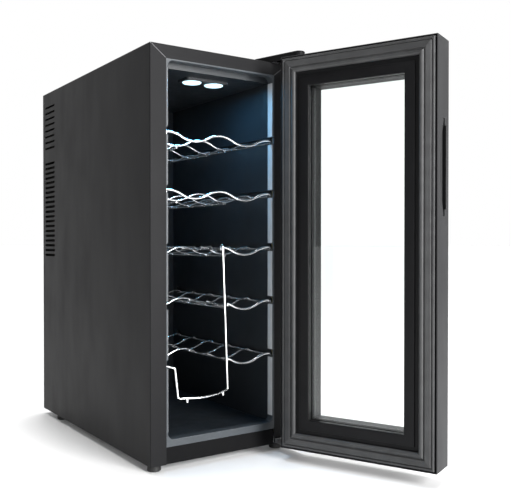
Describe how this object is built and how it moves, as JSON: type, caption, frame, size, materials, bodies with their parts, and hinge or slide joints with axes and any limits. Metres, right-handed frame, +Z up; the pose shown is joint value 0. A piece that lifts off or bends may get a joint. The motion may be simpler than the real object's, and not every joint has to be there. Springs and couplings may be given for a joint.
{
  "type": "wine cooler",
  "caption": "Slim free-standing wine cooler: dark steel cabinet, side-hinged glass door, wavy wire shelves in side grooves, bottle guard, ceiling lamp and thermoelectric unit.",
  "frame": {"origin": "centre of the cabinet's footprint, on the plane of the floor that the four feet stand on", "axes": "+Z up; +X to the right of a person who faces the door side; the door side looks along -Y and the fan side along +Y; rest pose has the door open by 113 degrees"},
  "size_m": [0.3431, 0.7617, 0.6488],
  "materials": {
    "cabinet_paint": "satin",
    "galvanised": "satin",
    "rail_plastic": "matte",
    "rear_paint": "matte",
    "collar_plastic": "satin",
    "liner_plastic": "satin",
    "foam": "matte",
    "chrome_wire": "polished",
    "door_paint": "satin",
    "black_plastic": "matte",
    "gasket_rubber": "matte",
    "magnet": "matte",
    "outer_glass": "gloss",
    "inner_glass": "gloss",
    "aluminium": "satin",
    "spacer_metal": "satin",
    "hinge_steel": "satin",
    "hinge_cap": "satin",
    "screw_steel": "polished",
    "foot_rubber": "matte",
    "lamp_white": "satin",
    "lens": "gloss",
    "board_green": "gloss",
    "ceramic_white": "matte",
    "fan_black": "satin",
    "brass_bush": "satin"
  },
  "bodies": {
    "cabinet": {"outer_wrap": "cabinet_paint", "bottom_pan": "galvanised", "front_bottom_rail": "rail_plastic", "liner_collar": "collar_plastic", "liner": "liner_plastic", "insulation_foam": "foam", "rear_cover": "rear_paint", "rear_cover_screws": "screw_steel", "rear_foot_left": "foot_rubber", "rear_foot_right": "foot_rubber", "lamp_housing": "lamp_white", "lamp_lenses": "lens", "led_board": "board_green", "temperature_probe": "black_plastic", "cold_sink": "aluminium", "hot_sink": "aluminium", "peltier_module": "ceramic_white", "heat_bridge": "aluminium", "hot_fan_frame": "fan_black", "cold_fan_frame": "fan_black", "fan_guard": "chrome_wire", "cold_air_cover": "liner_plastic", "control_board": "board_green", "power_supply": "galvanised", "power_inlet": "black_plastic", "top_hinge_bracket": "hinge_steel", "top_hinge_cover": "hinge_cap", "top_hinge_pin": "hinge_steel", "bottom_hinge_bracket": "hinge_steel", "bottom_hinge_pin": "hinge_steel", "hinge_screws": "screw_steel"},
    "door": {"door_frame": "door_paint", "door_core": "foam", "handle_cup": "black_plastic", "door_outer_glass": "outer_glass", "door_inner_glass": "inner_glass", "glass_spacer": "spacer_metal", "door_inner_frame": "black_plastic", "door_gasket": "gasket_rubber", "gasket_magnet": "magnet", "hinge_bush_top": "brass_bush", "hinge_bush_bottom": "brass_bush", "display_board": "board_green", "door_stop": "foot_rubber"},
    "shelf_1_rack": {"shelf_1": "chrome_wire"},
    "shelf_2_rack": {"shelf_2": "chrome_wire"},
    "shelf_3_rack": {"shelf_3": "chrome_wire", "bottle_guard": "chrome_wire"},
    "shelf_4_rack": {"shelf_4": "chrome_wire"},
    "shelf_5_rack": {"shelf_5": "chrome_wire"},
    "hot_fan_wheel": {"hot_fan_rotor": "fan_black"},
    "cold_fan_wheel": {"cold_fan_rotor": "fan_black"},
    "left_levelling_foot": {"levelling_foot_left": "foot_rubber"},
    "right_levelling_foot": {"levelling_foot_right": "foot_rubber"}
  },
  "joints": [
    {"name": "door_hinge", "type": "hinge", "parent": "cabinet", "child": "door", "pos_m": [0.116, -0.284, 0.3], "axis": [0, 0, 1], "range_deg": [-113, 62]},
    {"name": "shelf_1_slide", "type": "slide", "parent": "cabinet", "child": "shelf_1_rack", "axis": [0, -1, 0], "range_m": [0, 0.04]},
    {"name": "shelf_2_slide", "type": "slide", "parent": "cabinet", "child": "shelf_2_rack", "axis": [0, -1, 0], "range_m": [0, 0.04]},
    {"name": "shelf_3_slide", "type": "slide", "parent": "cabinet", "child": "shelf_3_rack", "axis": [0, -1, 0], "range_m": [0, 0.04]},
    {"name": "shelf_4_slide", "type": "slide", "parent": "cabinet", "child": "shelf_4_rack", "axis": [0, -1, 0], "range_m": [0, 0.04]},
    {"name": "shelf_5_slide", "type": "slide", "parent": "cabinet", "child": "shelf_5_rack", "axis": [0, -1, 0], "range_m": [0, 0.04]},
    {"name": "hot_fan_spin", "type": "hinge", "parent": "cabinet", "child": "hot_fan_wheel", "pos_m": [0, 0.213, 0.35], "axis": [0, 1, 0], "continuous": true},
    {"name": "cold_fan_spin", "type": "hinge", "parent": "cabinet", "child": "cold_fan_wheel", "pos_m": [0, 0.097, 0.35], "axis": [0, 1, 0], "continuous": true},
    {"name": "left_foot_turn", "type": "hinge", "parent": "cabinet", "child": "left_levelling_foot", "pos_m": [-0.1125, -0.224, 0], "axis": [0, 0, 1], "range_deg": [-360, 360]},
    {"name": "right_foot_turn", "type": "hinge", "parent": "cabinet", "child": "right_levelling_foot", "pos_m": [0.1125, -0.224, 0], "axis": [0, 0, 1], "range_deg": [-360, 360]}
  ]
}
